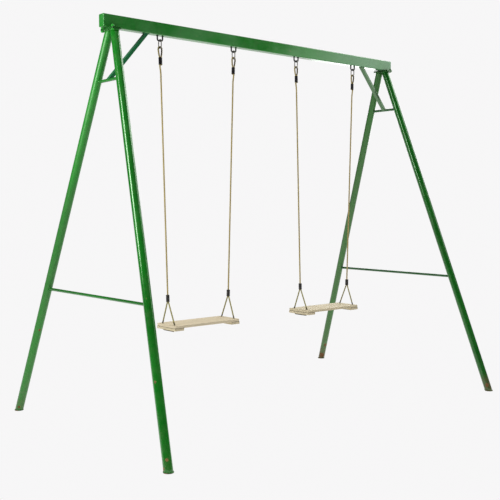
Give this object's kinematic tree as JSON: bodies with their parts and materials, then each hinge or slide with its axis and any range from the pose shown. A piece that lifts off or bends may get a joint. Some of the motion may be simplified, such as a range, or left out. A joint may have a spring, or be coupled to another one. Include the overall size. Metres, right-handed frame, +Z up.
{
  "type": "two-seat swing set",
  "caption": "A-frame swing set of green painted steel tube with plank seats hung on ropes from a rectangular top beam.",
  "frame": {"origin": "on the ground, midway between the four feet and under the middle of the top beam", "axes": "+X along the top beam, +Y across it in the direction the seats swing, +Z up"},
  "size_m": [2.722, 1.6488, 2.306],
  "materials": {
    "green_paint": "glossy green enamel, chipped with a little rust at the feet",
    "green_bolts": "painted over with the frame",
    "black_steel": "satin black",
    "zinc_steel": "zinc plated",
    "rope": "laid hemp-coloured fibre",
    "black_plastic": "matt black",
    "pine": "planed pale pine, lightly oiled"
  },
  "bodies": {
    "frame": {"beam": "green_paint", "beam_end_cap_left": "green_paint", "beam_flange_left": "green_paint", "leg_flange_left": "green_paint", "lower_crossbar_left": "green_paint", "upper_crossbar_left": "green_paint", "knee_brace_left": "green_paint", "leg_left_front": "green_paint", "foot_left_front": "green_paint", "flange_bolt_left_front": "green_bolts", "flange_nut_left_front": "green_bolts", "leg_left_back": "green_paint", "foot_left_back": "green_paint", "flange_bolt_left_back": "green_bolts", "flange_nut_left_back": "green_bolts", "hanger_left_a": "black_steel", "hanger_left_b": "black_steel", "beam_end_cap_right": "green_paint", "beam_flange_right": "green_paint", "leg_flange_right": "green_paint", "lower_crossbar_right": "green_paint", "upper_crossbar_right": "green_paint", "knee_brace_right": "green_paint", "leg_right_front": "green_paint", "foot_right_front": "green_paint", "flange_bolt_right_front": "green_bolts", "flange_nut_right_front": "green_bolts", "leg_right_back": "green_paint", "foot_right_back": "green_paint", "flange_bolt_right_back": "green_bolts", "flange_nut_right_back": "green_bolts", "hanger_right_a": "black_steel", "hanger_right_b": "black_steel"},
    "left_ropes": {"link_left_a": "zinc_steel", "link_left_b": "zinc_steel", "rope_left_a": "rope", "rope_left_b": "rope", "upper_sleeve_left_a": "black_plastic", "upper_sleeve_left_b": "black_plastic"},
    "left_seat": {"lower_sleeve_left_a": "black_plastic", "lower_sleeve_left_b": "black_plastic", "seat_loop_left_a": "rope", "seat_loop_left_b": "rope", "seat_board_left": "pine", "seat_batten_left_a": "pine", "seat_batten_left_b": "pine"},
    "right_ropes": {"link_right_a": "zinc_steel", "link_right_b": "zinc_steel", "rope_right_a": "rope", "rope_right_b": "rope", "upper_sleeve_right_a": "black_plastic", "upper_sleeve_right_b": "black_plastic"},
    "right_seat": {"lower_sleeve_right_a": "black_plastic", "lower_sleeve_right_b": "black_plastic", "seat_loop_right_a": "rope", "seat_loop_right_b": "rope", "seat_board_right": "pine", "seat_batten_right_a": "pine", "seat_batten_right_b": "pine"}
  },
  "joints": [
    {"name": "left_swing", "type": "hinge", "parent": "frame", "child": "left_ropes", "pos_m": [-0.541, 0, 2.2066], "axis": [1, 0, 0], "range_deg": [-50, 50]},
    {"name": "left_seat_tilt", "type": "hinge", "parent": "left_ropes", "child": "left_seat", "pos_m": [-0.541, 0, 0.737], "axis": [1, 0, 0], "range_deg": [-20, 20]},
    {"name": "right_swing", "type": "hinge", "parent": "frame", "child": "right_ropes", "pos_m": [0.541, 0, 2.2066], "axis": [1, 0, 0], "range_deg": [-50, 50]},
    {"name": "right_seat_tilt", "type": "hinge", "parent": "right_ropes", "child": "right_seat", "pos_m": [0.541, 0, 0.737], "axis": [1, 0, 0], "range_deg": [-20, 20]}
  ]
}
